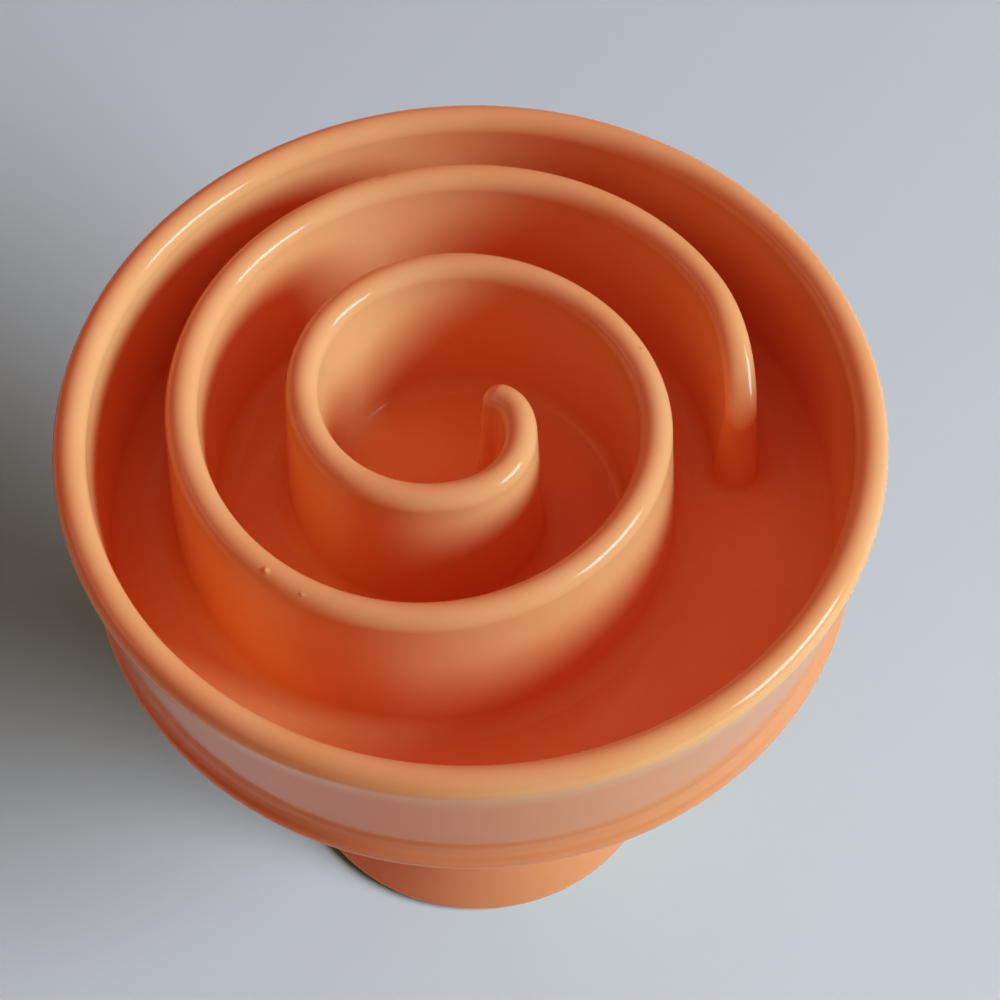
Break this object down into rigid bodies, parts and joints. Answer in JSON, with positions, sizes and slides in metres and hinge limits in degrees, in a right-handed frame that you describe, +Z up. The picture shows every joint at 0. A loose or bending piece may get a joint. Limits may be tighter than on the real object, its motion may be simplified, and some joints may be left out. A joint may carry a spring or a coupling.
{
  "type": "slow feeder bowl",
  "caption": "Raised round pet bowl with a spiral wall standing on its floor to slow eating, on a hollow flared pedestal.",
  "frame": {"origin": "centre of the base, on the surface that the bowl stands on", "axes": "+Z up along the bowl's axis of turning; the picture looks along +Y, with +X to its right"},
  "size_m": [0.15, 0.15, 0.124],
  "materials": {
    "bowl_glaze": "gloss",
    "spiral_glaze": "gloss",
    "pedestal_glaze": "gloss",
    "soft_ring": "satin"
  },
  "bodies": {
    "root": {"bowl_body": "bowl_glaze", "spiral_wall": "spiral_glaze", "pedestal": "pedestal_glaze", "non_slip_ring": "soft_ring"}
  },
  "joints": []
}
